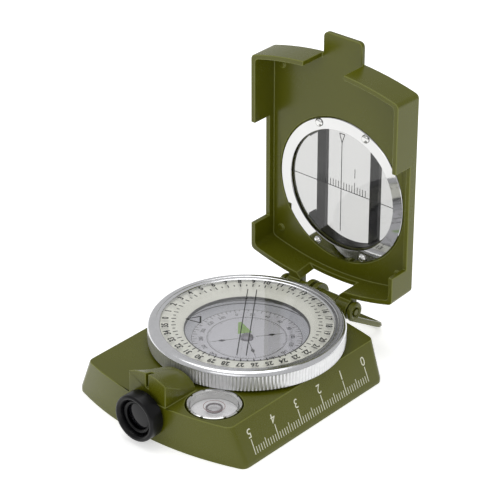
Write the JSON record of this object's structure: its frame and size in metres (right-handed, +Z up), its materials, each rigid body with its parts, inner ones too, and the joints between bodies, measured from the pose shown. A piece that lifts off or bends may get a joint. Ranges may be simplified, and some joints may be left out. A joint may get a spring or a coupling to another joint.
{
  "type": "folding sighting compass",
  "caption": "Folding sighting compass: cast base with floating card, turning bezel, bubble level, focusing eyepiece, hinged lid with sighting window and wire thumb loop.",
  "frame": {"origin": "centre of the underside plate on the dial's axis, on the surface the compass stands on", "axes": "+X to the ruled side of the base, +Y from the eyepiece to the hinge, +Z up"},
  "size_m": [0.0628, 0.0962, 0.0938],
  "materials": {
    "olive_paint": "satin",
    "bright_metal": "polished",
    "brass": "satin",
    "steel": "satin",
    "mirror_metal": "polished",
    "clear": "clear",
    "seal_rubber": "matt",
    "dial_white": "matt",
    "card_white": "matt",
    "black_plastic": "satin"
  },
  "bodies": {
    "base": {"base_body": "olive_paint", "underside_plate": "olive_paint", "plate_screw_1": "steel", "plate_screw_2": "steel", "plate_screw_3": "steel", "plate_screw_4": "steel", "hinge_pin": "steel", "capsule_cup": "brass", "capsule_seal": "seal_rubber", "capsule_glass": "clear", "pivot_post": "steel", "bezel_retaining_ring": "brass", "level_case": "bright_metal", "level_vial": "clear", "sight_prism": "clear", "prism_holder": "brass"},
    "bezel": {"bezel_ring": "bright_metal", "degree_ring": "dial_white", "bezel_glass": "clear"},
    "card": {"compass_card": "card_white", "card_hub": "brass", "needle_magnet": "steel"},
    "eyepiece": {"eyepiece_barrel": "black_plastic", "eyepiece_lens": "clear", "lens_retainer": "black_plastic"},
    "lid": {"lid_shell": "olive_paint", "mirror_ring": "mirror_metal", "window_disc": "clear", "sight_frame": "black_plastic", "window_screw_1": "steel", "window_screw_2": "steel", "window_screw_3": "steel", "window_screw_4": "steel"},
    "loop": {"thumb_loop": "olive_paint"}
  },
  "joints": [
    {"name": "bezel_turn", "type": "hinge", "parent": "base", "child": "bezel", "pos_m": [0, 0, 0.0155], "axis": [0, 0, 1], "continuous": true},
    {"name": "card_swing", "type": "hinge", "parent": "base", "child": "card", "pos_m": [0, 0, 0.0125], "axis": [0, 0, 1], "continuous": true},
    {"name": "lid_hinge", "type": "hinge", "parent": "base", "child": "lid", "pos_m": [0, 0.0331, 0.0124], "axis": [-1, 0, 0], "range_deg": [-89.4, 6]},
    {"name": "loop_swing", "type": "hinge", "parent": "base", "child": "loop", "pos_m": [0, 0.0331, 0.0124], "axis": [1, 0, 0], "range_deg": [-60, 40]},
    {"name": "eyepiece_focus", "type": "slide", "parent": "base", "child": "eyepiece", "axis": [0, -1, 0], "range_m": [0, 0.0015]}
  ]
}
